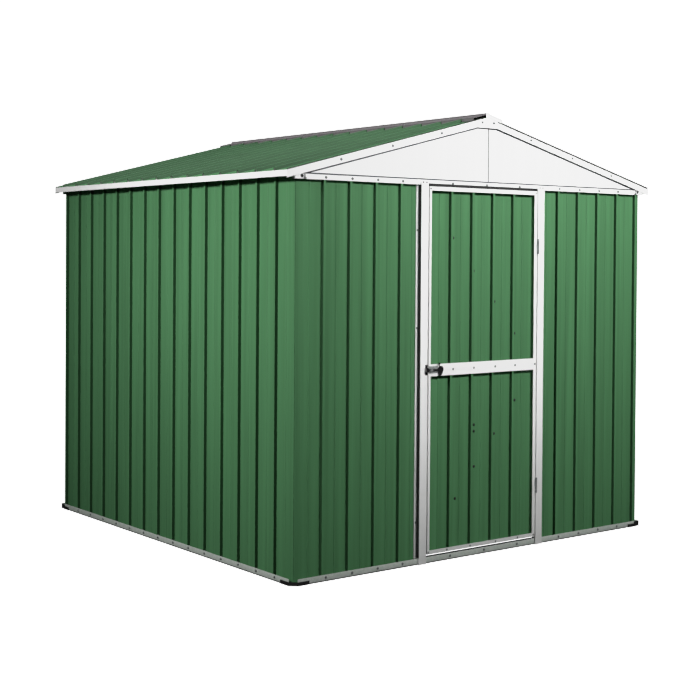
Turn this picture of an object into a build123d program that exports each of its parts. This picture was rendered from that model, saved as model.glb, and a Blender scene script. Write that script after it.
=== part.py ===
"""Gabled garden shed in ribbed steel sheet, with one outward-opening door.

Millimetres. X runs across the front, Y from front to back, Z up. The origin
is on the ground, midway between the flat faces of opposite walls.
"""

from build123d import *
from math import cos, radians, sin, sqrt, tan
import os

# Walls: the flat faces of the ribbed sheets
wall_width = 2260.0
wall_depth = 2240.0
sheet = 1.0
rib_pitch = 148.0
rib_width = 18.0
rib_height = 14.0
rib_flank = 3.0
swage_width = 9.0
swage_crest = 2.0
swage_height = 1.5
side_first_rib = 140.0
front_first_rib = 149.0
front_last_rib = 34.0

# Rails that hold the sheets
rail_sheet = 1.0
rail_play = 0.3
base_rail_height = 30.0
top_rail_height = 23.0
front_top_rail_bottom = 1783.0

# Doorway and its posts; doorway_centre is measured from the shed's centre line
doorway_centre = -18.0
doorway_width = 728.0
post_width = 44.0
post_depth = 24.0
post_flange = 15.0
post_flange_lift = 5.0
post_sheet = 1.2
post_tab = 17.0
post_tab_radius = 9.0

# Door leaf
door_gap_latch = 8.0
door_gap_hinge = 5.0
door_gap_top = 7.0
door_gap_bottom = 12.0
door_face = 23.0
door_sheet = 1.0
stile_latch_face = 13.0
stile_hinge_face = 20.0
door_rail_face = 19.0
door_first_rib = 145.0
door_rib_pitch = 137.0
door_rib_count = 4
door_rib_setback = 3.0
mid_rail_below_bolt = 3.0
mid_rail_height = 57.0
brace_width = 30.0
brace_sheet = 1.2
brace_upper_left = 1700.0
brace_over_centre = 30.0
brace_under_centre = 53.0
brace_lower_left = 95.0

# Hinges in the gap on the right
hinge_length = 75.0
hinge_sheet = 1.2
hinge_leaf = 16.0
hinge_pin_radius = 2.0
hinge_knuckle_radius = 4.5
hinge_play = 0.05
hinge_end_play = 0.3
hinge_heights = (300.0, 1500.0)

# Latch
bolt_radius = 4.5
bolt_play = 0.6
bolt_height = 914.0
bolt_travel = 30.0
bolt_inset = 4.0
neck_radius = 3.2
neck_length = 16.0
latch_sheet = 1.2
strap_width = 6.0
strap_spacing = 9.0
guide_inset = 2.0
guide_height = 34.0
guide_tail = 12.0
keep_width = 14.0
keep_height = 48.0
keep_flange = 15.0
handle_width = 32.0
handle_height = 46.0
handle_tip = 5.0
handle_overlap = 5.0
handle_sheet = 4.0
handle_rim = 5.0
handle_recess = 1.5
stub_radius = 5.0
stub_rise = 12.0

# Roof
roof_pitch = 14.3
roof_over_rail = 29.0
roof_seat = 0.3
eave_overhang = 60.0
verge_overhang = 18.0
roof_first_rib = 92.0
barge_height = 34.0
barge_fold = 12.0
gable_setback = 4.0
gable_lap = 20.0
fascia_height = 27.0
fascia_fold = 14.0
apex_half_width = 65.0
apex_neck = 22.0
cap_wing = 95.0
cap_roll_width = 26.0
cap_roll_height = 8.0
ridge_gap = 4.0
beam_width = 40.0
beam_height = 25.0
beam_wall = 1.6

# Corner feet
foot_length = 90.0
foot_height = 17.0
foot_sheet = 3.0
corner_cut = 30.0

# Derived planes
half_width = wall_width / 2
half_depth = wall_depth / 2
rail_out = rib_height + rail_play + rail_sheet
rail_in = sheet + rail_play + rail_sheet
front_top_rail_top = front_top_rail_bottom + top_rail_height
door_left = doorway_centre - doorway_width / 2
door_right = doorway_centre + doorway_width / 2
leaf_left = door_left + door_gap_latch
leaf_right = door_right - door_gap_hinge
leaf_bottom = base_rail_height + door_gap_bottom
leaf_top = front_top_rail_bottom - door_gap_top
leaf_front = -half_depth - door_face
leaf_back = leaf_front + door_rib_setback + rib_height + sheet + door_sheet
sheet_seat = door_sheet + rail_play
door_pan = leaf_front + door_rib_setback + rib_height
slope = tan(radians(roof_pitch))
roof_apex = front_top_rail_top + roof_over_rail + slope * half_width
roof_half = half_width + eave_overhang
verge = half_depth + verge_overhang
rib_rise = (rib_height + sheet) / cos(radians(roof_pitch))
side_rail_top = roof_apex - slope * (half_width + rail_out) - roof_seat
side_rail_bottom = side_rail_top - top_rail_height
gable_face = verge - rail_sheet - gable_setback
fold_seat = roof_seat + rail_sheet
hinge_x = (leaf_right + door_right) / 2
hinge_y = -half_depth - post_depth - hinge_knuckle_radius - hinge_end_play
latch_y = leaf_front - latch_sheet - bolt_play - bolt_radius
bolt_left = leaf_left + bolt_inset
mid_rail_centre = bolt_height - mid_rail_below_bolt
brace_upper_right = mid_rail_centre + brace_over_centre
brace_lower_right = mid_rail_centre - brace_under_centre


def roof_underside(x):
    """Height above the ground of the roof sheets' underside at x."""
    return roof_apex - slope * abs(x)


def block(x, y, z):
    """A box between the two ends of each axis."""
    solid = Box(x[1] - x[0], y[1] - y[0], z[1] - z[0], align=(Align.MIN,) * 3)
    return solid.moved(Location((x[0], y[0], z[0])))


def along_z(points, low, high):
    """A plan outline of (x, y) points raised from low to high."""
    face = make_face(Polyline(*[(x, y, low) for x, y in points], close=True))
    return extrude(face, high - low, dir=(0, 0, 1))


def along_x(points, low, high):
    """An end outline of (y, z) points drawn from low to high along X."""
    face = make_face(Polyline(*[(low, y, z) for y, z in points], close=True))
    return extrude(face, high - low, dir=(1, 0, 0))


def along_y(points, low, high):
    """An end outline of (x, z) points drawn from low to high along Y."""
    face = make_face(Polyline(*[(x, low, z) for x, z in points], close=True))
    return extrude(face, high - low, dir=(0, 1, 0))


def channel(low, high, floor, lip, thick):
    """Outline of a U: its web lies at floor and its two flanges reach lip."""
    step = thick if lip > floor else -thick
    return [
        (low, floor),
        (high, floor),
        (high, lip),
        (high - thick, lip),
        (high - thick, floor + step),
        (low + thick, floor + step),
        (low + thick, lip),
        (low, lip),
    ]


def ribbed(start, end, ribs, pitch=rib_pitch):
    """Outline of a ribbed sheet: the pans' faces at 0, the ribs to the plus side.

    Each pan is stiffened by a shallow swage midway between two ribs.
    """
    rises = [(middle, rib_width, rib_flank, rib_height) for middle in ribs]
    side = (swage_width - swage_crest) / 2
    mids = [ribs[0] - pitch / 2] + [middle + pitch / 2 for middle in ribs]
    mids = [m for m in mids if start + pitch / 4 < m < end - pitch / 4]
    rises += [(middle, swage_width, side, swage_height) for middle in mids]
    outer = [(start, 0)]
    inner = [(start, -sheet)]
    for middle, width, flank, height in sorted(rises):
        left = middle - width / 2
        right = middle + width / 2
        step = sheet if height > sheet + swage_height else 0
        outer += [(left, 0), (left + flank, height), (right - flank, height), (right, 0)]
        inner += [(left + step, -sheet), (left + flank + step, height - sheet)]
        inner += [(right - flank - step, height - sheet), (right - step, -sheet)]
    return outer + [(end, 0), (end, -sheet)] + inner[::-1]


def rib_row(first, limit, pitch=rib_pitch):
    """Rib centres from first up to limit."""
    count = int((limit - first) / pitch) + 1
    return [first + pitch * n for n in range(count)]


def flip_x(shape):
    """The same piece on the other side of the shed's centre line."""
    return mirror(shape, about=Plane.YZ)


def flip_y(shape):
    """The same piece at the other end of the shed."""
    return mirror(shape, about=Plane.XZ)


# Each wall's sheets stand in the base rail and reach into the top rail
def front_sheet(left, right, ribs):
    """A front wall sheet, ribs towards the viewer."""
    points = [(u, -half_depth - v) for u, v in ribbed(left, right, ribs)]
    return along_z(points, rail_sheet, front_top_rail_top - rail_sheet)


def front_wall_left():
    """The wall from the left corner to the doorway."""
    ribs = rib_row(-half_width + front_first_rib, door_left - post_width - rib_width)
    return front_sheet(-half_width, door_left, ribs)


def front_wall_right():
    """The wall from the doorway to the right corner."""
    ribs = rib_row(-half_width + front_last_rib, -door_right - post_width - rib_width)
    return front_sheet(door_right, half_width, [-middle for middle in ribs][::-1])


def back_wall():
    """The rear wall."""
    ribs = rib_row(-half_width + front_first_rib, half_width - rib_width)
    points = [(u, half_depth + v) for u, v in ribbed(-half_width, half_width, ribs)]
    return along_z(points, rail_sheet, front_top_rail_top - rail_sheet)


def left_wall():
    """The left wall, between the front and rear sheets."""
    end = half_depth - rail_in
    ribs = rib_row(-half_depth + side_first_rib, end - rib_width)
    points = [(-half_width - v, u) for u, v in ribbed(-end, end, ribs)]
    return along_z(points, rail_sheet, side_rail_top - rail_sheet)


def mitre_plan(reach_x, reach_y, width):
    """Plan of a rail along the front: ends mitred at 45 degrees, outer corners cut off."""
    half_cut = corner_cut / 2
    return [
        (-reach_x + corner_cut, -reach_y),
        (reach_x - corner_cut, -reach_y),
        (reach_x - half_cut, -reach_y + half_cut),
        (reach_x - width, -reach_y + width),
        (-reach_x + width, -reach_y + width),
        (-reach_x + half_cut, -reach_y + half_cut),
    ]


def base_rail_front():
    """The base rail under the front wall, with both ends mitred."""
    reach_x = half_width + rail_out
    reach_y = half_depth + rail_out
    width = rail_out + rail_in
    profile = channel(-reach_y, -reach_y + width, 0, base_rail_height, rail_sheet)
    plan = mitre_plan(reach_x, reach_y, width)
    return along_x(profile, -reach_x, reach_x) & along_z(plan, 0, base_rail_height)


def base_rail_left():
    """The base rail under the left wall, with both ends mitred."""
    reach_x = half_width + rail_out
    reach_y = half_depth + rail_out
    width = rail_out + rail_in
    profile = channel(-reach_x, -reach_x + width, 0, base_rail_height, rail_sheet)
    plan = [(y, x) for x, y in mitre_plan(reach_y, reach_x, width)]
    return along_y(profile, -reach_y, reach_y) & along_z(plan, 0, base_rail_height)


def top_rail_front():
    """The rail over the front wall and the doorway, open downwards."""
    low = -half_depth - rail_out
    high = -half_depth + rail_in
    profile = channel(low, high, front_top_rail_top, front_top_rail_bottom, rail_sheet)
    reach = half_width + rail_out
    return along_x(profile, -reach, reach)


def top_rail_left():
    """The rail on the left wall, close under the roof sheets."""
    low = -half_width - rail_out
    high = -half_width + rail_in
    profile = channel(low, high, side_rail_top, side_rail_bottom, rail_sheet)
    reach = half_depth - rail_in
    return along_y(profile, -reach, reach)


def corner_foot():
    """Black cap round the outside of the rails' near left corner and across its cut."""
    x = -half_width - rail_out
    y = -half_depth - rail_out

    def plan(grow, cut):
        low_x = x - grow
        low_y = y - grow
        far_x = x + foot_length
        far_y = y + foot_length
        chamfer = [(low_x, low_y + cut), (low_x + cut, low_y)]
        return chamfer + [(far_x, low_y), (far_x, far_y), (low_x, far_y)]

    outer_cut = corner_cut + foot_sheet * (2 - sqrt(2))
    outside = along_z(plan(foot_sheet, outer_cut), 0, foot_height)
    return outside - along_z(plan(0, corner_cut), 0, foot_height)


def door_post(side):
    """A hollow post beside the doorway with a lifted flange on the wall sheet."""
    inner = door_left if side < 0 else door_right
    outer = inner + side * post_width
    edge = outer + side * post_flange
    step = side * post_sheet
    root = -half_depth
    face = root - post_depth
    shelf = root - post_flange_lift
    points = [
        (inner, root),
        (inner, face),
        (outer, face),
        (outer, shelf),
        (edge, shelf),
        (edge, root),
        (edge - step, root),
        (edge - step, shelf + post_sheet),
        (outer - step, shelf + post_sheet),
        (outer - step, face + post_sheet),
        (inner + step, face + post_sheet),
        (inner + step, root),
    ]
    post = along_z(points, 0, front_top_rail_bottom + post_tab)
    span = sorted((inner, edge))
    behind = (root - rail_out, root + rail_out)
    post -= block(span, behind, (0, base_rail_height))
    post -= block(span, behind, (front_top_rail_bottom, front_top_rail_top))
    return post - tab_corner(inner, side) - tab_corner(outer, -side)


def tab_corner(edge, inward):
    """What is cut from a corner of a post's tab to round it."""
    top = front_top_rail_bottom + post_tab
    centre = edge + inward * post_tab_radius
    front = -half_depth - 2 * post_depth
    corner = block(sorted((edge, centre)), (front, -half_depth), (top - post_tab_radius, top))
    round_bar = Cylinder(post_tab_radius, 2 * post_depth, rotation=(90, 0, 0))
    return corner - round_bar.moved(Location((centre, front + post_depth, top - post_tab_radius)))


# Door leaf: a folded frame round a ribbed sheet
def stile(side):
    """An upright of the leaf: a channel whose mouth takes the sheet."""
    edge = leaf_left if side < 0 else leaf_right
    width = stile_latch_face if side < 0 else stile_hinge_face
    step = -side * door_sheet
    mouth = edge - side * width
    points = [
        (mouth, leaf_front),
        (edge, leaf_front),
        (edge, leaf_back),
        (mouth, leaf_back),
        (mouth, leaf_back - door_sheet),
        (edge + step, leaf_back - door_sheet),
        (edge + step, leaf_front + door_sheet),
        (mouth, leaf_front + door_sheet),
    ]
    return along_z(points, leaf_bottom, leaf_top)


def door_rail(top):
    """The leaf's top or bottom edge channel, between the stiles."""
    edge = leaf_top if top else leaf_bottom
    away = -1 if top else 1
    mouth = edge + away * door_rail_face
    points = [
        (leaf_front, mouth),
        (leaf_front, edge),
        (leaf_back, edge),
        (leaf_back, mouth),
        (leaf_back - door_sheet, mouth),
        (leaf_back - door_sheet, edge + away * door_sheet),
        (leaf_front + door_sheet, edge + away * door_sheet),
        (leaf_front + door_sheet, mouth),
    ]
    return along_x(points, leaf_left + stile_latch_face, leaf_right - stile_hinge_face)


def door_sheet_panel():
    """The leaf's ribbed sheet, ribs outwards, inside the four channels."""
    start = leaf_left + sheet_seat
    end = leaf_right - sheet_seat
    ribs = [leaf_left + door_first_rib + door_rib_pitch * n for n in range(door_rib_count)]
    points = [(u, door_pan - v) for u, v in ribbed(start, end, ribs, door_rib_pitch)]
    return along_z(points, leaf_bottom + sheet_seat, leaf_top - sheet_seat)


def mid_rail():
    """The wide white rail across the leaf at latch height, on top of the ribs."""
    low = mid_rail_centre - mid_rail_height / 2
    high = mid_rail_centre + mid_rail_height / 2
    back = leaf_front + door_rib_setback
    profile = [
        (leaf_front, low),
        (leaf_front, high),
        (back, high),
        (back, high - door_sheet),
        (leaf_front + door_sheet, high - door_sheet),
        (leaf_front + door_sheet, low + door_sheet),
        (back, low + door_sheet),
        (back, low),
    ]
    return along_x(profile, leaf_left + stile_latch_face, leaf_right - stile_hinge_face)


def brace(start, end):
    """A flat diagonal strap behind the door sheet, trimmed inside the channels."""
    left = (leaf_left + stile_hinge_face, start)
    right = (leaf_right - stile_hinge_face, end)
    seat = leaf_back - door_sheet
    run = Vector(right[0] - left[0], 0, right[1] - left[1])
    across = Vector(-run.Z, 0, run.X).normalized() * (brace_width / 2)
    ahead = run.normalized() * (2 * brace_width)
    low = Vector(left[0], 0, left[1]) - ahead
    high = Vector(right[0], 0, right[1]) + ahead
    corners = [low - across, high - across, high + across, low + across]
    strap = along_y([(p.X, p.Z) for p in corners], seat, seat + brace_sheet)
    window = block(
        (leaf_left + stile_latch_face, leaf_right - stile_hinge_face),
        (seat, seat + brace_sheet),
        (leaf_bottom + door_rail_face, leaf_top - door_rail_face),
    )
    return strap & window


# Hinges
def upright(x, y, low, high, radius):
    """A round upright bar."""
    bar = Cylinder(radius, high - low, align=(Align.CENTER, Align.CENTER, Align.MIN))
    return bar.moved(Location((x, y, low)))


def hinge_piece(centre, moving):
    """One hinge's plate with its knuckles: the leaf has the middle third."""
    third = hinge_length / 3
    low = centre - hinge_length / 2
    bands = [(low, low + third), (low + 2 * third, low + hinge_length)]
    if moving:
        bands = [(low + third + hinge_end_play, low + 2 * third - hinge_end_play)]
    near = leaf_right if moving else door_right - hinge_sheet
    across = (near, near + hinge_sheet)
    depth = (hinge_y, hinge_y + hinge_leaf)
    plate = block(across, depth, (low, low + hinge_length))
    other = block(
        (near - hinge_sheet, near + 2 * hinge_sheet),
        (hinge_y - hinge_knuckle_radius, -half_depth - post_depth),
        (low - 1, low + hinge_length + 1),
    )
    piece = plate - other
    for a, b in bands:
        piece += upright(hinge_x, hinge_y, a, b, hinge_knuckle_radius)
        piece += block(across, depth, (a, b))
    return piece - upright(hinge_x, hinge_y, low, low + hinge_length, hinge_pin_radius + hinge_play)


def hinge_pins():
    """The pins through the knuckles."""
    pins = []
    for centre in hinge_heights:
        low = centre - hinge_length / 2
        pins.append(upright(hinge_x, hinge_y, low, low + hinge_length, hinge_pin_radius))
    return pins


# Latch
def strap(left, width, root, half_mouth, reach):
    """A hoop standing off a face at root, open along X."""
    outer = half_mouth + latch_sheet
    points = [
        (root, bolt_height - outer),
        (root - reach - latch_sheet, bolt_height - outer),
        (root - reach - latch_sheet, bolt_height + outer),
        (root, bolt_height + outer),
        (root, bolt_height + half_mouth),
        (root - reach, bolt_height + half_mouth),
        (root - reach, bolt_height - half_mouth),
        (root, bolt_height - half_mouth),
    ]
    return along_x(points, left, left + width)


def latch_guide():
    """The bolt's plate on the leaf, with two hoops that the rod slides in."""
    left = leaf_left + guide_inset
    plate = block(
        (left, left + bolt_travel + 2 * guide_tail),
        (leaf_front - latch_sheet, leaf_front),
        (bolt_height - guide_height / 2, bolt_height + guide_height / 2),
    )
    reach = 2 * (bolt_radius + bolt_play)
    for start in (left, left + strap_spacing):
        plate += strap(start, strap_width, leaf_front - latch_sheet, bolt_radius + bolt_play, reach)
    return plate


def latch_keep():
    """The hoop on the post that takes the bolt's end."""
    root = -half_depth - post_depth
    half_mouth = keep_height / 2 - keep_flange
    reach = root - latch_y + bolt_radius + bolt_play
    left = door_left - keep_width
    keep = strap(left, keep_width, root, half_mouth, reach)
    for side in (-1, 1):
        ends = sorted((bolt_height + side * keep_height / 2, bolt_height + side * half_mouth))
        keep += block((left, left + keep_width), (root - latch_sheet, root), ends)
    return keep


def lying_rod(radius, length, left):
    """A round bar along X on the bolt's line."""
    align = (Align.CENTER, Align.CENTER, Align.MIN)
    rod = Cylinder(radius, length, rotation=(0, 90, 0), align=align)
    return rod.moved(Location((left, latch_y, bolt_height)))


def pear(shrink):
    """The handle's outline in its own plane: a round head drawn down to a small tip."""
    head = Circle(handle_width / 2 - shrink)
    tip = Circle(handle_tip - shrink / 2)
    drop = handle_height - handle_width / 2 - handle_tip
    return make_hull(head.edges() + tip.moved(Location((0, -drop))).edges())


def latch_bolt():
    """The round bolt, drawn back: rod, thinner neck, pear handle with a stub on top."""
    rod = lying_rod(bolt_radius, bolt_travel + bolt_inset, bolt_left)
    neck_left = bolt_left + bolt_travel + bolt_inset
    neck = lying_rod(neck_radius, neck_length + handle_overlap, neck_left)
    plate = extrude(pear(0), handle_sheet) - extrude(pear(handle_rim), handle_recess)
    centre = neck_left + neck_length + handle_width / 2
    # The outline's own plane is turned upright, its recess towards the viewer
    handle = Rotation(90, 0, 0) * plate.mirror(Plane.XY)
    handle = handle.moved(Location((centre, latch_y - handle_sheet / 2, bolt_height)))
    stub_x = centre - handle_width / 4
    stub_top = bolt_height + handle_width / 2 + stub_rise
    stub = upright(stub_x, latch_y, bolt_height, stub_top, handle_sheet / 2)
    knob = Sphere(stub_radius).moved(Location((stub_x, latch_y, stub_top)))
    return rod + neck + handle + stub + knob


# Roof
def gable_half(side):
    """Half of the white front gable; the left one laps over the right."""
    step = 0 if side < 0 else sheet
    outer = -gable_face + step
    end = half_width + rail_out
    lap = gable_lap / 2
    base = front_top_rail_top
    points = [
        (side * end, base),
        (side * end, roof_underside(end) - fold_seat),
        (0, roof_apex - fold_seat),
        (-side * lap, roof_underside(lap) - fold_seat),
        (-side * lap, base),
    ]
    return along_y(points, outer, outer + sheet)


def barge():
    """The white verge trim on the near left slope, folded under the roof sheet."""
    high = [(-roof_half, roof_underside(roof_half) - roof_seat), (0, roof_apex - roof_seat)]
    leg = high + [(x, z - barge_height) for x, z in high[::-1]]
    fold = high + [(x, z - rail_sheet) for x, z in high[::-1]]
    return along_y(leg, -verge, -verge + rail_sheet) + along_y(fold, -verge, -verge + barge_fold)


def fascia():
    """The white eave trim on the left, folded in at the top and the bottom."""
    top = roof_underside(roof_half) - roof_seat
    back = -roof_half - rail_sheet
    leg = block((back, -roof_half), (-verge, verge), (top - fascia_height, top))
    inner = -roof_half + fascia_fold
    lip = [
        (-roof_half, top),
        (inner, top + slope * fascia_fold),
        (inner, top + slope * fascia_fold - rail_sheet),
        (-roof_half, top - rail_sheet),
    ]
    end = verge - barge_fold - rail_play
    leg += along_y(lip, -end, end)
    bottom = (top - fascia_height, top - fascia_height + rail_sheet)
    return leg + block((-roof_half, inner), (-end, end), bottom)


def roof_sheet_left():
    """The left slope's ribbed sheet, its ribs running down the slope."""
    points = ribbed(-verge, verge, rib_row(-verge + roof_first_rib, verge - rib_width))
    lift = [(u, v + sheet) for u, v in points]
    start = (-roof_half, 0, roof_underside(roof_half))
    angle = radians(roof_pitch)
    plane = Plane(origin=start, x_dir=(0, 1, 0), z_dir=(cos(angle), 0, sin(angle)))
    length = (roof_half - ridge_gap) / cos(angle)
    profile = plane * make_face(Polyline(*lift, close=True))
    return extrude(profile, length, dir=(cos(angle), 0, sin(angle)))


def ridge_cap():
    """The dark cap along the ridge: two wings on the ribs and a raised roll."""
    def seat(x):
        return roof_underside(x) + rib_rise + roof_seat

    half_roll = cap_roll_width / 2
    top = seat(half_roll) + rail_sheet + cap_roll_height
    right = [
        (half_roll - 3, top),
        (half_roll, seat(half_roll) + rail_sheet),
        (cap_wing, seat(cap_wing) + rail_sheet),
        (cap_wing, seat(cap_wing)),
        (half_roll - 1, seat(half_roll - 1)),
        (half_roll - 4, top - rail_sheet),
    ]
    return along_y(right + [(-x, z) for x, z in right[::-1]], -verge, verge)


def ridge_beam():
    """The hollow bar under the ridge, between the gables."""
    top = roof_underside(beam_width / 2) - fold_seat
    reach = gable_face - 2 * sheet
    outside = (-beam_width / 2, beam_width / 2), (-reach, reach), (top - beam_height, top)
    inside = (
        (-beam_width / 2 + beam_wall, beam_width / 2 - beam_wall),
        (-reach, reach),
        (top - beam_height + beam_wall, top - beam_wall),
    )
    return block(*outside) - block(*inside)


def apex_plate():
    """The white plate over the meeting of the front barges, up to the cap's end."""
    x = apex_half_width
    neck = apex_neck / 2
    half_roll = cap_roll_width / 2
    top = roof_underside(half_roll) + rib_rise + roof_seat + rail_sheet + cap_roll_height
    right = [
        (x, roof_underside(x) - roof_seat - barge_height),
        (x, roof_underside(x)),
        (neck, roof_underside(neck)),
        (neck, top),
    ]
    return along_y(right + [(-a, z) for a, z in right[::-1]], -verge - rail_sheet, -verge)


def nodes():
    """Every piece of the shed by name."""
    yield "base_rail_front", base_rail_front()
    yield "base_rail_back", flip_y(base_rail_front())
    yield "base_rail_left", base_rail_left()
    yield "base_rail_right", flip_x(base_rail_left())
    foot = corner_foot()
    yield "corner_feet_front", [foot, flip_x(foot)]
    yield "corner_feet_back", [flip_y(foot), flip_x(flip_y(foot))]
    yield "front_wall_left", front_wall_left()
    yield "front_wall_right", front_wall_right()
    yield "back_wall", back_wall()
    yield "left_wall", left_wall()
    yield "right_wall", flip_x(left_wall())
    yield "top_rail_front", top_rail_front()
    yield "top_rail_back", flip_y(top_rail_front())
    yield "top_rail_left", top_rail_left()
    yield "top_rail_right", flip_x(top_rail_left())
    yield "door_post_left", door_post(-1)
    yield "door_post_right", door_post(1)
    yield "front_gable_left", gable_half(-1)
    yield "front_gable_right", gable_half(1)
    yield "back_gable_left", flip_y(gable_half(-1))
    yield "back_gable_right", flip_y(gable_half(1))
    yield "front_barge_left", barge()
    yield "front_barge_right", flip_x(barge())
    yield "back_barge_left", flip_y(barge())
    yield "back_barge_right", flip_x(flip_y(barge()))
    yield "apex_plate_front", apex_plate()
    yield "apex_plate_back", flip_y(apex_plate())
    yield "eave_fascia_left", fascia()
    yield "eave_fascia_right", flip_x(fascia())
    yield "roof_sheet_left", roof_sheet_left()
    yield "roof_sheet_right", flip_x(roof_sheet_left())
    yield "ridge_cap", ridge_cap()
    yield "ridge_beam", ridge_beam()
    yield "hinge_frame_plates", [hinge_piece(z, False) for z in hinge_heights]
    yield "hinge_pins", hinge_pins()
    yield "latch_keep", latch_keep()
    yield "door_stile_latch", stile(-1)
    yield "door_stile_hinge", stile(1)
    yield "door_rail_top", door_rail(True)
    yield "door_rail_bottom", door_rail(False)
    yield "door_rail_middle", mid_rail()
    yield "door_ribbed_sheet", door_sheet_panel()
    yield "door_brace_upper", brace(brace_upper_left, brace_upper_right)
    yield "door_brace_lower", brace(brace_lower_left, brace_lower_right)
    yield "hinge_door_plates", [hinge_piece(z, True) for z in hinge_heights]
    yield "latch_guide", latch_guide()
    yield "latch_bolt", latch_bolt()


os.makedirs("parts", exist_ok=True)
for name, shape in nodes():
    solids = shape if isinstance(shape, list) else [shape]
    node = Compound(label=name, children=[solid for piece in solids for solid in piece.solids()])
    export_step(node, f"parts/{name}.step")
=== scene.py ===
"""Looks of the ribbed steel garden shed: painted and galvanised finishes, screws,
rivets and small fittings. Metres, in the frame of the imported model.
"""

import math

import bmesh
import bpy
from mathutils import Matrix, Vector


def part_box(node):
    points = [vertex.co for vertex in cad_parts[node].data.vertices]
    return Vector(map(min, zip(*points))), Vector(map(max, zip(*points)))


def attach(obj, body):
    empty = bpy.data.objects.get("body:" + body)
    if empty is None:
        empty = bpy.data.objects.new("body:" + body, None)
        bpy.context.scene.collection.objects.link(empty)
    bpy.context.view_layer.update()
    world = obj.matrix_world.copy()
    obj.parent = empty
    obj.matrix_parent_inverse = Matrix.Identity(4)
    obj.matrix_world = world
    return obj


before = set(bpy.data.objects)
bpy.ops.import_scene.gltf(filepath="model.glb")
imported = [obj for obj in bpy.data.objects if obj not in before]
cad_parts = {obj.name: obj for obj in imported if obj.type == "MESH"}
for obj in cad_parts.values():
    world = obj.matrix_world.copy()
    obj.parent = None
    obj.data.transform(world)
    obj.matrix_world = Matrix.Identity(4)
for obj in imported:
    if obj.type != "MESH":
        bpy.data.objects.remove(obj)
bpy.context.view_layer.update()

MM = 0.001

# The walls' flat faces, and what the steel work repeats
HALF_WIDTH = 1130 * MM
HALF_DEPTH = 1120 * MM
RIB_PITCH = 148 * MM
RIB_HEIGHT = 14 * MM
SIDE_FIRST_RIB = 140 * MM
FRONT_FIRST_RIB = 149 * MM
FRONT_LAST_RIB = 34 * MM
ROOF_FIRST_RIB = 92 * MM
ROOF_PITCH = math.radians(14.3)
ROOF_APEX = 2123 * MM
BARGE_HEIGHT = 34 * MM

# Fasteners
WASHER_RADIUS = 6.5 * MM
WASHER_HEIGHT = 1.2 * MM
HEX_RADIUS = 4.6 * MM
HEX_HEIGHT = 3.6 * MM
RIVET_RADIUS = 5 * MM
RIVET_HEIGHT = 2 * MM
FLAT_RIVET_HEIGHT = 0.4 * MM
WIDE_RIVET_RADIUS = 7.5 * MM
HIGH_SCREW_PAST_RIB = 5 * MM
LOW_SCREW_PAST_RIB = 18 * MM

# Where the photograph shows them, across from the shed's middle and up from the ground
DOORWAY_SCREWS_X = (-222 * MM, 0, 224 * MM)
VERGE_SCREWS_X = (-894 * MM, -597 * MM, -298 * MM, 298 * MM, 597 * MM, 894 * MM)
APEX_SCREWS_X = (-36 * MM, 40 * MM)
APEX_SCREWS_UP = 26 * MM
POST_RIVETS_Z = (199 * MM, 1112 * MM, 1570 * MM)
MIDDLE_RAIL_RIVETS_X = (-219 * MM, -84 * MM, 58 * MM, 194 * MM)
BOTTOM_RAIL_RIVETS_X = (-250 * MM, -100 * MM, 70 * MM, 220 * MM)
UPPER_BRACE_RIVETS = ((-210, 1536), (-75, 1378), (65, 1228), (204, 1068))
LOWER_BRACE_RIVETS = ((208, 735), (69, 579), (-64, 429), (-186, 286))
SPARE_RIVETS = ((-66, 632), (-66, 601))
END_BOLTS_X = 1107 * MM
END_BOLTS_Z = 1797 * MM
TAB_SCREWS_Z = 1794 * MM

# No screw of the walls comes nearer than this to a doorway's edge or a corner
SCREW_CLEARANCE = 60 * MM

# The brackets at the front top rail's ends, each an upright leg on a short foot
BRACKET_LEG_X = 1092 * MM
BRACKET_LEG_Z = (1790 * MM, 1805 * MM)
BRACKET_FOOT_X = (1098 * MM, 1084 * MM)
BRACKET_FOOT_Z = 1787 * MM

# The corners' angles run from the base rails to the top rails
ANGLES_Z = (31 * MM, 1782 * MM)

# The posts' outer flanges, lifted off the wall; beside each runs a black strip of painted shade
POST_FLANGE = 15 * MM
FLANGE_LIFT = 5 * MM

# Strips of painted shade beside the posts and over the door, and the painted shadow lines' width
POST_SHADE_Z = (32 * MM, 1781 * MM)
DOOR_HEAD_Z = 1783 * MM
SHADOW_LINE_WIDTH = 7 * MM

# Painted shade that darkens the white trims towards the ground: how high it reaches
GROUND_SHADE_HEIGHT = 600 * MM

# The light that shows as pure white, what the backdrop gives the camera, and the fill
WHITE_LEVEL = 2.0
BACKDROP = 2.2
FILL_LIGHT = 0.03


def linear(code):
    """An sRGB hex colour such as '#5b8f60' as linear red, green, blue and alpha."""
    parts = [int(code[i:i + 2], 16) / 255 for i in (1, 3, 5)]
    return [p / 12.92 if p <= 0.04045 else ((p + 0.055) / 1.055) ** 2.4 for p in parts] + [1.0]


def add(tree, kind, links=None, values=None, **settings):
    """Adds a node: its properties, the values of its sockets and what they are linked to."""
    made = tree.nodes.new(kind)
    for name, value in settings.items():
        setattr(made, name, value)
    for name, value in (values or {}).items():
        made.inputs[name].default_value = value
    for name, source in (links or {}).items():
        tree.links.new(source, made.inputs[name])
    return made


def new_material(name, rough, metal=0.0):
    """A material with its shader, and the coordinates that its patterns read."""
    made = bpy.data.materials.new(name)
    made.use_nodes = True
    tree = made.node_tree
    shader = tree.nodes["Principled BSDF"]
    shader.inputs["Roughness"].default_value = rough
    shader.inputs["Metallic"].default_value = metal
    place = add(tree, "ShaderNodeTexCoord")
    return made, tree, shader, place


def blend_colours(tree, factor, low, high):
    """A colour between two others, each a hex value or a socket."""
    mixed = add(tree, "ShaderNodeMix", {"Factor": factor}, data_type="RGBA")
    for number, colour in ((6, low), (7, high)):
        if isinstance(colour, str):
            mixed.inputs[number].default_value = linear(colour)
        else:
            tree.links.new(colour, mixed.inputs[number])
    return mixed.outputs[2]


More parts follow.
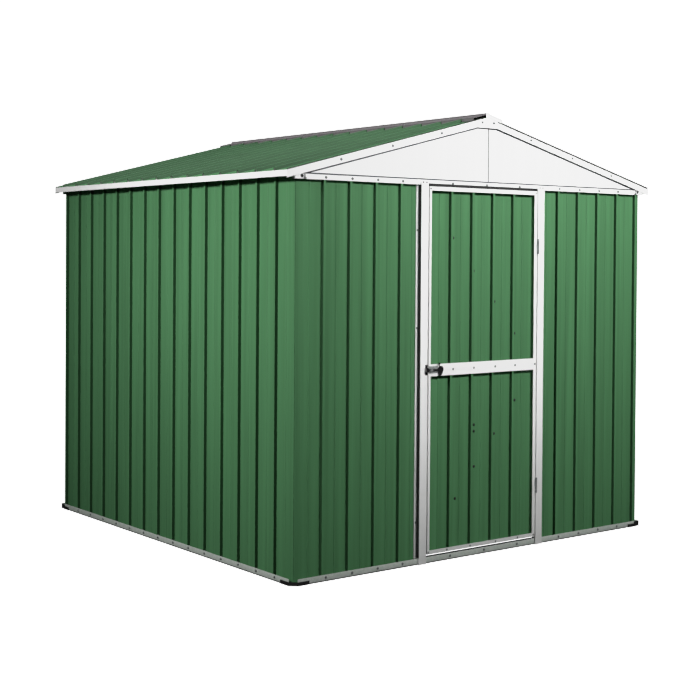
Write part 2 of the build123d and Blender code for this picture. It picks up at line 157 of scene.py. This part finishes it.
def dents(tree, shader, place, size, depth, grain):
    """Height that bends the light: the sheet's slack waves and the finish's fine texture.
    The real texture is too fine to show in a render, so the grain is drawn coarser."""
    wave = add(tree, "ShaderNodeTexNoise", {"Vector": place.outputs["Object"]},
               {"Scale": 1 / size, "Detail": 1.0})
    fine = add(tree, "ShaderNodeTexNoise", {"Vector": place.outputs["Object"]},
               {"Scale": 1 / grain, "Detail": 2.0})
    slack = add(tree, "ShaderNodeBump", {"Height": wave.outputs["Fac"]},
                {"Strength": 1.0, "Distance": depth})
    skin = add(tree, "ShaderNodeBump", {"Height": fine.outputs["Fac"], "Normal": slack.outputs[0]},
               {"Strength": 0.25, "Distance": 0.2 * MM})
    tree.links.new(skin.outputs[0], shader.inputs["Normal"])


def rolled_paint(name, colour, shade, rough, gloss, streak):
    """Coil-coated polyester paint: satin, with faint streaks along the way it was rolled."""
    made, tree, shader, place = new_material(name, rough)
    shader.inputs["Specular IOR Level"].default_value = gloss
    thin = add(tree, "ShaderNodeMapping", {"Vector": place.outputs["Object"]}, {"Scale": streak})
    streaks = add(tree, "ShaderNodeTexNoise", {"Vector": thin.outputs[0]},
                  {"Scale": 1.0, "Detail": 3.0, "Roughness": 0.6})
    spread = add(tree, "ShaderNodeMapRange", {"Value": streaks.outputs["Fac"]},
                 {"From Min": 0.32, "From Max": 0.68})
    tint = blend_colours(tree, spread.outputs[0], shade, colour)
    dents(tree, shader, place, 0.3, 1.2 * MM, 1.5 * MM)
    return made, tree, shader, place, tint


def low_down(tree, place, height, most):
    """A share that grows from none at a height to its most at the ground, in uneven patches."""
    # Patches of about 70 mm
    patches_per_metre = 14.0
    spots = add(tree, "ShaderNodeTexNoise", {"Vector": place.outputs["Object"]},
                {"Scale": patches_per_metre, "Detail": 4.0, "Roughness": 0.65})
    split = add(tree, "ShaderNodeSeparateXYZ", {"Vector": place.outputs["Object"]})
    share = add(tree, "ShaderNodeMapRange", {"Value": split.outputs["Z"]},
                {"From Min": height, "From Max": 0.0, "To Max": most})
    patchy = add(tree, "ShaderNodeMapRange", {"Value": spots.outputs["Fac"]},
                 {"From Min": 0.3, "From Max": 0.7, "To Min": 0.7, "To Max": 1.0})
    both = add(tree, "ShaderNodeMath", {0: share.outputs[0], 1: patchy.outputs[0]},
               operation="MULTIPLY")
    return both.outputs[0]


def along_axis(tree, normal, axis):
    """How far the surface faces along an axis, from -1 to 1."""
    dot = add(tree, "ShaderNodeVectorMath", {0: normal}, operation="DOT_PRODUCT")
    dot.inputs[1].default_value = axis
    return dot.outputs["Value"]


def green_sheet(name, outward, across, streak):
    """Green roll-formed sheet: painted outside, pale grey back coat inside, and painted shade
    that darkens the ribs' flanks."""
    made, tree, shader, place, tint = rolled_paint(name, "#53865b", "#4a7851", 0.5, 0.12, streak)
    flank = add(tree, "ShaderNodeMath", {0: along_axis(tree, place.outputs["Normal"], across)},
                operation="ABSOLUTE")
    # Painted shade: the ribs' steep flanks darken towards a near black green
    shaded_flanks = add(tree, "ShaderNodeMapRange", {"Value": flank.outputs[0]},
                {"From Min": 0.35, "From Max": 0.9, "To Max": 0.72})
    sheet_with_flank_shade = blend_colours(tree, shaded_flanks.outputs[0], tint, "#16301a")
    inside = add(tree, "ShaderNodeMapRange",
                 {"Value": along_axis(tree, place.outputs["Normal"], outward)},
                 {"From Min": -0.1, "From Max": -0.25})
    tree.links.new(blend_colours(tree, inside.outputs[0], sheet_with_flank_shade, "#a9ada6"),
                   shader.inputs["Base Color"])
    return made


def white_trim(name, streak):
    """White polyester trim: a little glossier than the sheets, with painted shade that greys it in
    patches towards the ground.
    """
    made, tree, shader, place, tint = rolled_paint(name, "#f9f9f8", "#f4f4f3", 0.4, 0.25, streak)
    # Painted shade: the white greys towards the ground
    ground_shade = low_down(tree, place, GROUND_SHADE_HEIGHT, 0.42)
    tree.links.new(blend_colours(tree, ground_shade, tint, "#6d736c"), shader.inputs["Base Color"])
    return made


def spangled(name, colour, shade, rough, metal, flake, dark_foot=False):
    """Hot-dip galvanised steel: zinc crystals that each catch the light their own way."""
    made, tree, shader, place = new_material(name, rough, metal)
    cells = add(tree, "ShaderNodeTexVoronoi", {"Vector": place.outputs["Object"]},
                {"Scale": 1 / flake, "Randomness": 1.0})
    grey = add(tree, "ShaderNodeSeparateColor", {0: cells.outputs["Color"]})
    zinc = blend_colours(tree, grey.outputs[0], shade, colour)
    if dark_foot:
        # A band that darkens towards the foot, and over it a dark line of painted contact shadow
        # along the foot
        zinc = blend_colours(tree, low_down(tree, place, 30 * MM, 0.5), zinc, "#6a726a")
        zinc = blend_colours(tree, low_down(tree, place, 7 * MM, 2.2), zinc, "#1c1f1c")
    tree.links.new(zinc, shader.inputs["Base Color"])
    dull = add(tree, "ShaderNodeMapRange", {"Value": grey.outputs[1]},
               {"To Min": rough - 0.08, "To Max": rough + 0.1})
    tree.links.new(dull.outputs[0], shader.inputs["Roughness"])
    dents(tree, shader, place, 0.2, 0.4 * MM, 2 * MM)
    return made


def moulded(name, colour, shade, rough, grain):
    """Moulded plastic or rubber: even, faintly mottled, with a fine leathery grain."""
    made, tree, shader, place = new_material(name, rough)
    cloud = 25 * MM
    mottle = add(tree, "ShaderNodeTexNoise", {"Vector": place.outputs["Object"]},
                 {"Scale": 1 / cloud, "Detail": 2.0})
    tree.links.new(blend_colours(tree, mottle.outputs["Fac"], shade, colour),
                   shader.inputs["Base Color"])
    dents(tree, shader, place, 0.02, 0.1 * MM, grain)
    return made


# Streaks run along each piece's rolling: 35 mm apart across it, over a metre long
UPRIGHT = (28.0, 28.0, 0.7)
ALONG_X = (0.7, 28.0, 28.0)
ALONG_Y = (28.0, 0.7, 28.0)

SLOPE = (math.sin(ROOF_PITCH), 0.0, math.cos(ROOF_PITCH))
X_AXIS = (1.0, 0.0, 0.0)
Y_AXIS = (0.0, 1.0, 0.0)
FORWARD = (0, -1, 0)
REARWARD = (0, 1, 0)


def make_materials():
    """Every finish of the shed by its plain name."""
    made = {}

    # Steel sheet coil-coated with green polyester, then roll-formed: an even satin green, faint
    # streaks along the rolling, pale grey on the side that faces the room, painted shade on the
    # flanks
    made["front"] = green_sheet("coated_green_front", (0, -1, 0), X_AXIS, UPRIGHT)
    made["back"] = green_sheet("coated_green_back", (0, 1, 0), X_AXIS, UPRIGHT)
    made["left"] = green_sheet("coated_green_left", (-1, 0, 0), Y_AXIS, UPRIGHT)
    made["right"] = green_sheet("coated_green_right", (1, 0, 0), Y_AXIS, UPRIGHT)
    left_slope = (-SLOPE[0], 0, SLOPE[2])
    made["roof_left"] = green_sheet("coated_green_roof_left", left_slope, Y_AXIS, ALONG_X)
    made["roof_right"] = green_sheet("coated_green_roof_right", SLOPE, Y_AXIS, ALONG_X)

    # Folded steel trim coil-coated with white polyester: a clean, slightly glossy white, with
    # painted shade that greys it towards the ground
    made["white_upright"] = white_trim("coated_white_upright", UPRIGHT)
    made["white_x"] = white_trim("coated_white_x", ALONG_X)
    made["white_y"] = white_trim("coated_white_y", ALONG_Y)

    # Hot-dip galvanised rail gone dull outdoors: a pale, greenish matt grey with hardly any
    # spangle, darker towards its foot, with a dark line of painted contact shadow along it
    rail = ("galvanised_rail_steel", "#d8dfd8", "#c8d2c9", 0.5, 0.1, 9 * MM)
    made["rail"] = spangled(*rail, dark_foot=True)

    # Hot-dip galvanised strip indoors: bright grey metal with a clear spangle
    made["galvanised"] = spangled("galvanised_steel", "#b4b8b8", "#8f9494", 0.42, 0.8, 12 * MM)

    # Steel ridge capping coil-coated dark grey: flat and even, a little cloudy
    made["cap"] = spangled("dark_grey_coated_steel", "#797577", "#706c6e", 0.5, 0.1, 60 * MM)

    # Injection-moulded polypropylene: soft black with a leathery grain
    made["plastic"] = moulded("black_polypropylene", "#1d1d1c", "#121212", 0.55, 1.2 * MM)

    # Extruded rubber: the deepest black, without shine, for the seals and for the strips of
    # painted shade
    made["rubber"] = moulded("black_rubber", "#131312", "#0b0b0b", 0.7, 2 * MM)

    # Steel under black enamel: near black with broad soft highlights
    made["bolt"] = moulded("black_enamelled_steel", "#1c1b1d", "#141315", 0.35, 3 * MM)

    # Zinc-plated pressed plate: light metal, cloudier than it is shiny
    made["plate"] = spangled("zinc_plated_steel", "#c9cccb", "#aab0af", 0.36, 0.6, 14 * MM)

    # Zinc-plated screw and rivet heads, dulled: mid grey spots with a small glint
    made["screw"] = spangled("zinc_plated_screws", "#8d9190", "#6f7473", 0.4, 0.6, 5 * MM)

    # Blackened steel rivets: dark dots on the door
    made["dark_rivet"] = moulded("blackened_rivets", "#181a18", "#0d0e0d", 0.45, 3 * MM)

    # Painted shadow lines: a matt dark grey, drawn as strips along the gables' joints
    made["sealant"] = moulded("grey_joint_sealant", "#3d3f43", "#323438", 0.6, 2 * MM)
    return made


FINISH_OF = {
    "front": ("front_wall_left", "front_wall_right", "door_ribbed_sheet"),
    "back": ("back_wall",),
    "left": ("left_wall",),
    "right": ("right_wall",),
    "roof_left": ("roof_sheet_left",),
    "roof_right": ("roof_sheet_right",),
    "white_upright": (
        "door_post_left", "door_post_right", "door_stile_latch", "door_stile_hinge",
        "front_gable_left", "front_gable_right", "back_gable_left", "back_gable_right",
        "apex_plate_front", "apex_plate_back",
    ),
    "white_x": (
        "top_rail_front", "top_rail_back", "door_rail_top", "door_rail_bottom", "door_rail_middle",
        "front_barge_left", "front_barge_right", "back_barge_left", "back_barge_right",
    ),
    "white_y": ("top_rail_left", "top_rail_right", "eave_fascia_left", "eave_fascia_right"),
    "rail": ("base_rail_front", "base_rail_back", "base_rail_left", "base_rail_right"),
    "galvanised": (
        "ridge_beam", "door_brace_upper", "door_brace_lower", "hinge_frame_plates",
        "hinge_pins", "hinge_door_plates",
    ),
    "cap": ("ridge_cap",),
    "plastic": ("corner_feet_front", "corner_feet_back"),
    "bolt": ("latch_bolt", "latch_keep"),
    "plate": ("latch_guide",),
}


def dress_nodes(finishes):
    """Gives each node of the shed its finish."""
    for finish, names in FINISH_OF.items():
        for name in names:
            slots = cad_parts[name].data.materials
            slots.clear()
            slots.append(finishes[finish])


def facing(point, normal):
    """The place of a fastener: at point, its own Z along normal."""
    turn = Vector(normal).to_track_quat("Z", "Y").to_matrix().to_4x4()
    return Matrix.Translation(point) @ turn


def cone(bm, place, low, high, bottom, top, sides):
    """A short cone between two heights."""
    shift = Matrix.Translation((0, 0, (low + high) / 2))
    bmesh.ops.create_cone(bm, cap_ends=True, segments=sides, radius1=bottom, radius2=top,
                          depth=high - low, matrix=place @ shift)


def hex_screw(bm, point, normal):
    """A self-drilling screw: a coned washer and a chamfered hexagon."""
    place = facing(point, normal)
    cone(bm, place, 0, WASHER_HEIGHT, WASHER_RADIUS, WASHER_RADIUS * 0.85, 12)
    cone(bm, place, WASHER_HEIGHT * 0.9, HEX_HEIGHT, HEX_RADIUS, HEX_RADIUS, 6)
    cone(bm, place, HEX_HEIGHT, HEX_HEIGHT + 0.5 * MM, HEX_RADIUS, HEX_RADIUS * 0.75, 6)


def dome_rivet(bm, point, normal, radius=RIVET_RADIUS, height=RIVET_HEIGHT):
    """A blind rivet: a low stepped dome."""
    place = facing(point, normal)
    cone(bm, place, 0, height * 0.5, radius, radius * 0.86, 14)
    cone(bm, place, height * 0.5, height, radius * 0.86, radius * 0.42, 14)


def flat_rivet(bm, point, normal):
    """A rivet whose wide head lies almost flush."""
    dome_rivet(bm, point, normal, RIVET_RADIUS, FLAT_RIVET_HEIGHT)


def wide_rivet(bm, point, normal):
    """A rivet over a broad washer."""
    dome_rivet(bm, point, normal, WIDE_RIVET_RADIUS, RIVET_HEIGHT)


def strip(bm, start, end, wide, thick, outward):
    """A flat bar on a face from start to end, its thickness along outward."""
    run = Vector(end) - Vector(start)
    out = Vector(outward)
    across = out.cross(run).normalized()
    middle = (Vector(start) + Vector(end)) / 2 + out * thick / 2
    turn = Matrix((run, across * wide, out * thick)).transposed().to_4x4()
    bmesh.ops.create_cube(bm, size=1, matrix=Matrix.Translation(middle) @ turn)


def finish_piece(bm, name, body, material):
    """Turns a bmesh into a named piece that rides on a body."""
    bmesh.ops.recalc_face_normals(bm, faces=bm.faces[:])
    mesh = bpy.data.meshes.new(name)
    bm.to_mesh(mesh)
    bm.free()
    mesh.materials.append(material)
    piece = bpy.data.objects.new(name, mesh)
    bpy.context.scene.collection.objects.link(piece)
    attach(piece, body)
    return piece


def fasteners(name, body, material, kind, places):
    """One piece of many like fasteners, each at (point, normal)."""
    bm = bmesh.new()
    for point, normal in places:
        kind(bm, point, normal)
    return finish_piece(bm, name, body, material)


def rib_row(first, limit):
    """Rib centres from first up to limit."""
    count = int((limit - first) / RIB_PITCH) + 1
    return [first + RIB_PITCH * n for n in range(count)]


def wall_screw_places():
    """Screws through the top and bottom rails, one just past each rib."""
    front_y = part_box("base_rail_front")[0].y
    # Sunk a little, so that their heads stay inside the shed's own depth
    back_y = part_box("base_rail_back")[1].y - 0.6 * MM
    left_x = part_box("base_rail_left")[0].x
    right_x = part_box("base_rail_right")[1].x
    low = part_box("base_rail_front")[1].z * 0.6
    top_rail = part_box("top_rail_front")
    high = (top_rail[0].z + top_rail[1].z) / 2
    doorway = (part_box("front_wall_left")[1].x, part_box("front_wall_right")[0].x)
    places = []
    left_ribs = rib_row(-HALF_WIDTH + FRONT_FIRST_RIB, doorway[0] - SCREW_CLEARANCE)
    from_right = rib_row(-HALF_WIDTH + FRONT_LAST_RIB, -doorway[1] - SCREW_CLEARANCE)
    right_ribs = [-x for x in from_right]
    rows = ((high, HIGH_SCREW_PAST_RIB), (low, LOW_SCREW_PAST_RIB))
    for z, past in rows:
        for x in left_ribs + right_ribs:
            if abs(x) < HALF_WIDTH - SCREW_CLEARANCE:
                places.append(((x + past, front_y, z), FORWARD))
        for x in rib_row(-HALF_WIDTH + FRONT_FIRST_RIB, HALF_WIDTH - RIB_PITCH / 2):
            places.append(((x + past, back_y, z), REARWARD))
        for x in DOORWAY_SCREWS_X:
            places.append(((x, front_y, z), FORWARD))
    for y in rib_row(-HALF_DEPTH + SIDE_FIRST_RIB, HALF_DEPTH - RIB_PITCH / 2):
        places += [((left_x, y - LOW_SCREW_PAST_RIB, low), (-1, 0, 0)),
                   ((right_x, y - LOW_SCREW_PAST_RIB, low), (1, 0, 0))]
    return places


def door_frame_rivet_places():
    """Rivets along the door's middle and bottom rails and at the ends of all three."""
    low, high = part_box("door_rail_middle")
    face = low.y
    middle = (low.z + high.z) / 2
    # How far the end rivets stay from the leaf's left, right, top and bottom edges
    from_left, from_right, from_end = 7 * MM, 9 * MM, 10 * MM
    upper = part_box("door_rail_top")[1].z - from_end
    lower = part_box("door_rail_bottom")[0].z + from_end
    places = [((x, face, middle), FORWARD) for x in MIDDLE_RAIL_RIVETS_X]
    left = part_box("door_stile_latch")[0].x + from_left
    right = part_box("door_stile_hinge")[1].x - from_right
    for x in (left, right):
        places += [((x, face, z), FORWARD) for z in (upper, middle, lower)]
    places += [((x, face, lower), FORWARD) for x in BOTTOM_RAIL_RIVETS_X]
    return places


def make_fasteners(finishes):
    """Screws and rivets where the photograph shows them, and where such a shed has them."""
    screw = finishes["screw"]
    fasteners("wall_screws", "shed", screw, hex_screw, wall_screw_places())

    barge_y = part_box("front_barge_left")[0].y
    back_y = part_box("back_barge_left")[1].y
    places = []
    back_places = []
    for x in VERGE_SCREWS_X:
        z = under_roof(x) - BARGE_HEIGHT / 2
        places.append(((x, barge_y, z), FORWARD))
        back_places.append(((x, back_y, z), REARWARD))
    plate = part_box("apex_plate_front")
    for x in APEX_SCREWS_X:
        places.append(((x, plate[0].y, plate[0].z + APEX_SCREWS_UP), FORWARD))
    fasteners("front_verge_screws", "shed", screw, hex_screw, places)
    fasteners("back_verge_rivets", "shed", screw, flat_rivet, back_places)

    places = []
    for node, side in (("door_post_left", -1), ("door_post_right", 1)):
        low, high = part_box(node)
        edge = low.x if side < 0 else high.x
        for z in POST_RIVETS_Z:
            places.append(((edge - side * POST_FLANGE / 2, -HALF_DEPTH - FLANGE_LIFT, z), FORWARD))
    fasteners("post_flange_rivets", "shed", screw, dome_rivet, places)

    fasteners("door_frame_rivets", "door", screw, dome_rivet,
              door_frame_rivet_places())

    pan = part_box("door_ribbed_sheet")[0].y + RIB_HEIGHT
    spots = UPPER_BRACE_RIVETS + LOWER_BRACE_RIVETS + SPARE_RIVETS
    places = [((x * MM, pan, z * MM), FORWARD) for x, z in spots]
    fasteners("brace_rivets", "door", finishes["dark_rivet"], wide_rivet,
              places)


def under_roof(x):
    """Height of the roof sheets' underside at x."""
    return ROOF_APEX - abs(x) * math.tan(ROOF_PITCH)


def make_sealant(finishes):
    """Painted shadow lines along the gables' joints: dark grey strips along the top rail, the lap,
    under the barges and under the apex plates."""
    bm = bmesh.new()
    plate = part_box("apex_plate_front")
    rail_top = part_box("top_rail_front")[1].z
    narrow_line = SHADOW_LINE_WIDTH * 0.7
    proud = 0.5 * MM
    over_rail = 2.5 * MM
    plate_reach = (plate[1].x - plate[0].x) / 2
    under_plate = plate[0].z - SHADOW_LINE_WIDTH / 2
    under_barge = BARGE_HEIGHT + SHADOW_LINE_WIDTH / 2
    slope = (plate_reach, HALF_WIDTH)
    for gable, out in (("front_gable_left", -1), ("back_gable_left", 1)):
        low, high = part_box(gable)
        face = low.y if out < 0 else high.y
        outward = (0, out, 0)
        base = max(low.z, rail_top) + over_rail
        ends = [(x, face, base) for x in (-HALF_WIDTH, HALF_WIDTH)]
        strip(bm, ends[0], ends[1], SHADOW_LINE_WIDTH, proud, outward)
        lap = high.x if out < 0 else low.x
        lap_top = under_roof(lap) - BARGE_HEIGHT
        strip(bm, (lap, face, base), (lap, face, lap_top), narrow_line, proud, outward)
        ends = [(x, face, under_plate) for x in (plate[0].x, plate[1].x)]
        strip(bm, ends[0], ends[1], narrow_line, proud, outward)
        for side in (-1, 1):
            ends = [(side * x, face, under_roof(x) - under_barge) for x in slope]
            strip(bm, ends[0], ends[1], SHADOW_LINE_WIDTH, proud, outward)
    finish_piece(bm, "joint_sealant", "shed", finishes["sealant"])


def make_black_strips(finishes):
    """Black strips: painted shade beside the posts, over the door and along the front right
    barge's top, and seals under the door and on the roof's edges.
    """
    bm = bmesh.new()
    # Painted shade: black strips on the posts' outer sides, where those sides lie in shadow
    post_shade_depth = 18 * MM
    post_shade_middle = 10 * MM
    for node, side in (("door_post_left", -1), ("door_post_right", 1)):
        low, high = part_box(node)
        x = low.x + POST_FLANGE if side < 0 else high.x - POST_FLANGE
        ends = [(x, low.y + post_shade_middle, z) for z in POST_SHADE_Z]
        strip(bm, ends[0], ends[1], post_shade_depth, 1 * MM, (side, 0, 0))

    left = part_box("door_post_left")[1].x
    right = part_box("door_post_right")[0].x
    rail_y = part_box("top_rail_front")[0].y
    # Painted shadow: a black strip in the gap over the door, under the top rail; and a seal along
    # the sill
    head_shade_strip, sill_seal = 14 * MM, 7 * MM
    ends = [(x, rail_y, DOOR_HEAD_Z) for x in (left, right)]
    strip(bm, ends[0], ends[1], head_shade_strip, 0.8 * MM, FORWARD)
    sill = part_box("base_rail_front")
    ends = [(x, sill[0].y + 2 * MM, sill[1].z + sill_seal / 2) for x in (left, right)]
    strip(bm, ends[0], ends[1], sill_seal, 1 * MM, FORWARD)

    # Under the roof sheets' ends, just behind each barge's face
    ridge_gap = 20 * MM
    behind_face = 3 * MM
    verge_seal = 5 * MM
    slope = (ridge_gap, HALF_WIDTH + 58 * MM)
    for name, out in (("front_barge_left", -1), ("back_barge_left", 1)):
        low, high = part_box(name)
        y = (low.y if out < 0 else high.y) - out * behind_face
        for side in (-1, 1):
            ends = [(side * x, y, under_roof(x) + 2 * MM) for x in slope]
            strip(bm, ends[0], ends[1], verge_seal, 2 * MM, (0, out, 0))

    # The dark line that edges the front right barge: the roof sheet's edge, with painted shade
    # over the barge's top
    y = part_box("front_barge_right")[0].y
    ends = [(x, y, under_roof(x) - 1.5 * MM) for x in (ridge_gap, HALF_WIDTH + 56 * MM)]
    strip(bm, ends[0], ends[1], verge_seal, 0.4 * MM, FORWARD)
    finish_piece(bm, "rubber_seals", "shed", finishes["rubber"])


def make_rail_fittings(finishes):
    """The front top rail's end bolts and brackets, and the screws in the posts' tabs."""
    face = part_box("top_rail_front")[0].y
    bm = bmesh.new()
    for side in (-1, 1):
        dome_rivet(bm, (side * END_BOLTS_X, face, END_BOLTS_Z), FORWARD, 8 * MM, 5 * MM)
    for node, side in (("door_post_left", -1), ("door_post_right", 1)):
        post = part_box(node)
        tab = (post[0].x + post[1].x - side * POST_FLANGE) / 2
        for shift in (-10 * MM, 10 * MM):
            dome_rivet(bm, (tab + shift, post[0].y, TAB_SCREWS_Z), FORWARD, 4 * MM, 2.5 * MM)
    finish_piece(bm, "rail_end_bolts", "shed", finishes["dark_rivet"])

    bm = bmesh.new()
    thick = 1.5 * MM
    for side in (-1, 1):
        ends = [(side * x, face, BRACKET_FOOT_Z) for x in BRACKET_FOOT_X]
        strip(bm, ends[0], ends[1], 7 * MM, thick, FORWARD)
        ends = [(side * BRACKET_LEG_X, face, z) for z in BRACKET_LEG_Z]
        strip(bm, ends[0], ends[1], 5 * MM, thick, FORWARD)
    finish_piece(bm, "rail_end_brackets", "shed", finishes["screw"])


def make_cap_trim(finishes):
    """The ridge cap's hems, turned down between the roof's ribs, and its front end plate."""
    low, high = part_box("ridge_cap")
    bm = bmesh.new()
    hem, hem_middle = 14 * MM, low.z - 6 * MM
    for side in (-1, 1):
        ends = [(side * high.x, y, hem_middle) for y in (low.y, high.y)]
        strip(bm, ends[0], ends[1], hem, 1 * MM, (-side, 0, 0))
    finish_piece(bm, "ridge_cap_hems", "shed", finishes["cap"])

    bm = bmesh.new()
    plate, plate_middle = 13 * MM, 8 * MM
    ends = [(x, low.y + 1.5 * MM, under_roof(x) + plate_middle) for x in (12 * MM, 93 * MM)]
    strip(bm, ends[0], ends[1], plate, 1 * MM, FORWARD)
    finish_piece(bm, "ridge_cap_end_plate", "shed", finishes["white_x"])


def make_corner_angles(finishes):
    """Thin angles inside the corners, which close the slits between the walls' sheets."""
    across, behind, from_end = 22 * MM, 1.1 * MM, 12 * MM
    for side, finish in ((-1, "left"), (1, "right")):
        bm = bmesh.new()
        for end in (-1, 1):
            x = side * (HALF_WIDTH - behind)
            y = end * (HALF_DEPTH - from_end)
            ends = [(x, y, z) for z in ANGLES_Z]
            strip(bm, ends[0], ends[1], across, 0.8 * MM, (-side, 0, 0))
        finish_piece(bm, "corner_angles_" + finish, "shed", finishes[finish])


def make_cap_screws(finishes):
    """Screws through every third rib, near the ridge cap's edges."""
    low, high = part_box("ridge_cap")
    from_edge = 14 * MM
    cap_sheet = 1 * MM
    z = low.z + from_edge * math.tan(ROOF_PITCH) + cap_sheet
    places = []
    for y in rib_row(low.y + ROOF_FIRST_RIB, high.y - RIB_PITCH / 2)[::3]:
        for side in (-1, 1):
            place = (side * (high.x - from_edge), y, z)
            places.append((place, (side * SLOPE[0], 0, SLOPE[2])))
    fasteners("ridge_cap_screws", "shed", finishes["screw"], hex_screw, places)


def make_foot_ends(finishes):
    """Upright faces of the corner feet; the near left one shows none in the photograph."""
    bm = bmesh.new()
    reach = 15.9 * MM
    tall, thick, middle = 27 * MM, 1.2 * MM, 14 * MM
    # Each face starts past the walls' corner and ends with the foot: across, and in depth
    # from the walls' face
    across = (1144, 1104)
    in_depth = (14 * MM, -26 * MM)
    for side, end in ((1, -1), (-1, 1), (1, 1)):
        y = end * (HALF_DEPTH + reach)
        ends = [(side * x * MM, y, middle) for x in across]
        strip(bm, ends[0], ends[1], tall, thick, (0, -end, 0))
        x = side * (HALF_WIDTH + reach)
        ends = [(x, end * (HALF_DEPTH + shift), middle) for shift in in_depth]
        strip(bm, ends[0], ends[1], tall, thick, (-side, 0, 0))
    finish_piece(bm, "corner_foot_ends", "shed", finishes["plastic"])


def floor_and_light():
    """A pale floor and soft boxes high up: a narrow one before each wall, a wide one above."""
    bm = bmesh.new()
    bmesh.ops.create_grid(bm, x_segments=1, y_segments=1, size=60)
    mesh = bpy.data.meshes.new("studio_floor")
    bm.to_mesh(mesh)
    bm.free()
    made, tree, shader, place = new_material("pale_matt_floor", 0.9)
    shader.inputs["Specular IOR Level"].default_value = 0.1
    cloud = 2.5
    soft = add(tree, "ShaderNodeTexNoise", {"Vector": place.outputs["Object"]},
               {"Scale": 1 / cloud, "Detail": 1.0})
    tree.links.new(blend_colours(tree, soft.outputs["Fac"], "#2a2a2a", "#303030"),
                   shader.inputs["Base Color"])
    shader.inputs["Emission Color"].default_value = linear("#ffffff")
    shader.inputs["Emission Strength"].default_value = BACKDROP
    mesh.materials.append(made)
    floor = bpy.data.objects.new("studio_floor", mesh)
    bpy.context.scene.collection.objects.link(floor)
    floor.visible_diffuse = False
    floor.visible_glossy = False

    world = bpy.data.worlds.new("studio")
    world.use_nodes = True
    tree = world.node_tree
    ground = tree.nodes["Background"]
    ground.inputs["Color"].default_value = linear("#ffffff")
    ground.inputs["Strength"].default_value = FILL_LIGHT
    seen = add(tree, "ShaderNodeBackground",
               values={"Color": linear("#ffffff"), "Strength": BACKDROP})
    path = add(tree, "ShaderNodeLightPath")
    both = add(tree, "ShaderNodeMixShader", {0: path.outputs["Is Camera Ray"],
                                             1: ground.outputs[0], 2: seen.outputs[0]})
    tree.links.new(both.outputs[0], tree.nodes["World Output"].inputs[0])
    bpy.context.scene.world = world

    # Where each hangs, what it lights, its width and height, its grid's angle and its power
    soft_box("box_front", (1.4, -5.6, 5.0), (0.4, -1.1, 2.2), 2.4, 0.6, 56, 60)
    soft_box("box_left", (-5.4, -0.9, 3.3), (-1.1, -0.6, 1.45), 2.4, 0.6, 62, 34)
    soft_box("box_right", (5.4, -0.8, 4.2), (1.1, -0.5, 1.5), 2.4, 0.6, 70, 50, False)
    soft_box("box_back", (-1.0, 5.6, 4.6), (-0.3, 1.1, 1.8), 2.4, 0.6, 70, 60, False)
    soft_box("box_top", (0.0, 0.0, 5.0), (0.0, 0.0, 0.0), 3.0, 3.0, 180, 8)


def soft_box(name, place, target, width, height, spread, power, mirrored=True):
    """A rectangular area light aimed at a point, which lets out light through the spread
    angle of its grid; unless mirrored, the paint's gloss doesn't show it."""
    lamp = bpy.data.lights.new(name, "AREA")
    lamp.shape = "RECTANGLE"
    lamp.size = width
    lamp.size_y = height
    lamp.spread = math.radians(spread)
    lamp.energy = power
    thing = bpy.data.objects.new(name, lamp)
    thing.location = place
    thing.rotation_mode = "QUATERNION"
    aim = Vector(target) - Vector(place)
    thing.rotation_quaternion = aim.to_track_quat("-Z", "Y")
    thing.visible_camera = False
    thing.visible_glossy = mirrored
    bpy.context.scene.collection.objects.link(thing)


def camera():
    """The photograph's view: off the near left corner, at a standing person's chest height."""
    eye = Vector((-4546.96, -5923.11, 1455.73)) * MM
    yaw = math.radians(37.757)
    down = math.radians(0.845)
    roll = math.radians(0.382)
    focal_pixels = 1349.83
    image_pixels = 700
    axis_row = 273.97
    sensor = 36.0
    level = math.cos(down)
    ahead = Vector((math.sin(yaw) * level, math.cos(yaw) * level, -math.sin(down)))
    right = Vector((math.cos(yaw), -math.sin(yaw), 0.0))
    up = right.cross(ahead)
    right_rolled = math.cos(roll) * right + math.sin(roll) * up
    up_rolled = math.cos(roll) * up - math.sin(roll) * right
    lens = bpy.data.cameras.new("view_camera")
    lens.sensor_width = sensor
    lens.lens = focal_pixels * sensor / image_pixels
    lens.shift_y = (axis_row - image_pixels / 2) / image_pixels
    lens.clip_start = 0.1
    lens.clip_end = 200.0
    eye_object = bpy.data.objects.new("view_camera", lens)
    turn = Matrix((right_rolled, up_rolled, -ahead)).transposed()
    eye_object.matrix_world = Matrix.Translation(eye) @ turn.to_4x4()
    bpy.context.scene.collection.objects.link(eye_object)
    bpy.context.scene.camera = eye_object


def tone():
    """The photograph's tones: plain colour, with a shoulder that keeps white trims from
    burning out."""
    view = bpy.context.scene.view_settings
    view.view_transform = "Standard"
    view.use_curve_mapping = True
    shoulder = view.curve_mapping.curves[3]
    # Light as a share of the white level, and the tone that it gets
    for light, shown in ((0.275, 0.55), (0.36, 0.735), (0.39, 0.8), (0.45, 0.84), (0.65, 0.885),
                         (0.85, 0.92)):
        shoulder.points.new(light, shown)
    for point in shoulder.points:
        point.handle_type = "VECTOR"
    view.curve_mapping.white_level = (WHITE_LEVEL, WHITE_LEVEL, WHITE_LEVEL)
    view.curve_mapping.update()


camera()
finishes = make_materials()
dress_nodes(finishes)
make_fasteners(finishes)
make_sealant(finishes)
make_black_strips(finishes)
make_rail_fittings(finishes)
make_cap_trim(finishes)
make_corner_angles(finishes)
make_cap_screws(finishes)
make_foot_ends(finishes)
floor_and_light()
tone()
